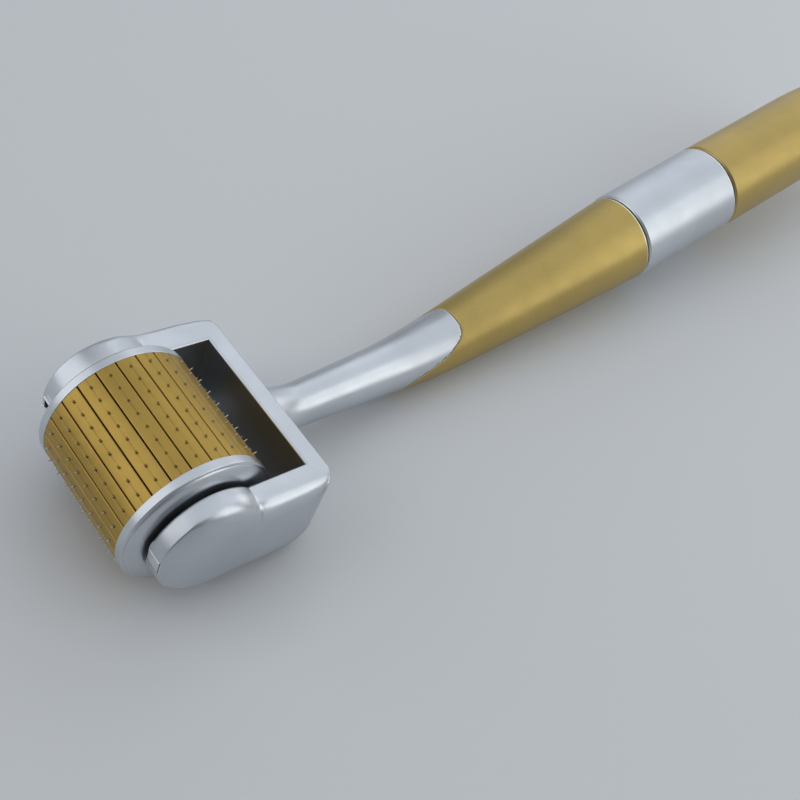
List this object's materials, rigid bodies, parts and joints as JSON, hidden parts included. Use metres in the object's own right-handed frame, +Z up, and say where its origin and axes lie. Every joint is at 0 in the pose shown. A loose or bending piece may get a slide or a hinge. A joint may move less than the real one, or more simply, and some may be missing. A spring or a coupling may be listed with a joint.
{
  "type": "derma roller",
  "caption": "Handheld derma roller: a needled drum spinning between the arms of a U-shaped fork, on a bent neck and a tapered round handle with a ring.",
  "frame": {"origin": "middle of the silver ring, on the handle's axis", "axes": "+X level, towards the tail of the handle; +Y along the drum's axle; +Z up, with the roller lying on its drum and on the belly of its neck; the handle's axis rises 5.7 degrees towards the tail"},
  "size_m": [0.1512, 0.0298, 0.0209],
  "materials": {
    "head_silver": "satin",
    "flange_silver": "satin silver paint",
    "ring_silver": "satin silver paint",
    "sleeve_gold": "satin metallic gold paint",
    "strip_bronze": "satin bronze gold",
    "hub_plastic": "moulded",
    "needle_steel": "ground",
    "axle_steel": "ground",
    "keeper_chrome": "plated"
  },
  "bodies": {
    "handle": {"head_fork": "head_silver", "axle_keeper_right": "keeper_chrome", "axle_keeper_left": "keeper_chrome", "neck_stem": "head_silver", "front_sleeve": "sleeve_gold", "grip_ring": "ring_silver", "handle_core": "hub_plastic", "rear_sleeve": "sleeve_gold", "end_cap": "ring_silver"},
    "drum": {"drum_core": "hub_plastic", "needle_strip_01": "strip_bronze", "needle_strip_02": "strip_bronze", "needle_strip_03": "strip_bronze", "needle_strip_04": "strip_bronze", "needle_strip_05": "strip_bronze", "needle_strip_06": "strip_bronze", "needle_strip_07": "strip_bronze", "needle_strip_08": "strip_bronze", "needle_strip_09": "strip_bronze", "needle_strip_10": "strip_bronze", "needle_strip_11": "strip_bronze", "needle_strip_12": "strip_bronze", "needle_strip_13": "strip_bronze", "needle_strip_14": "strip_bronze", "needle_strip_15": "strip_bronze", "needle_strip_16": "strip_bronze", "needle_strip_17": "strip_bronze", "needle_strip_18": "strip_bronze", "needle_strip_19": "strip_bronze", "needle_strip_20": "strip_bronze", "needle_strip_21": "strip_bronze", "needle_strip_22": "strip_bronze", "needle_strip_23": "strip_bronze", "needle_strip_24": "strip_bronze", "needles": "needle_steel", "drum_flange_right": "flange_silver", "drum_flange_left": "flange_silver", "axle_shaft": "axle_steel"}
  },
  "joints": [
    {"name": "drum_spin", "type": "hinge", "parent": "handle", "child": "drum", "pos_m": [-0.09123, 0, 0.0015], "axis": [0, 1, 0], "continuous": true}
  ]
}
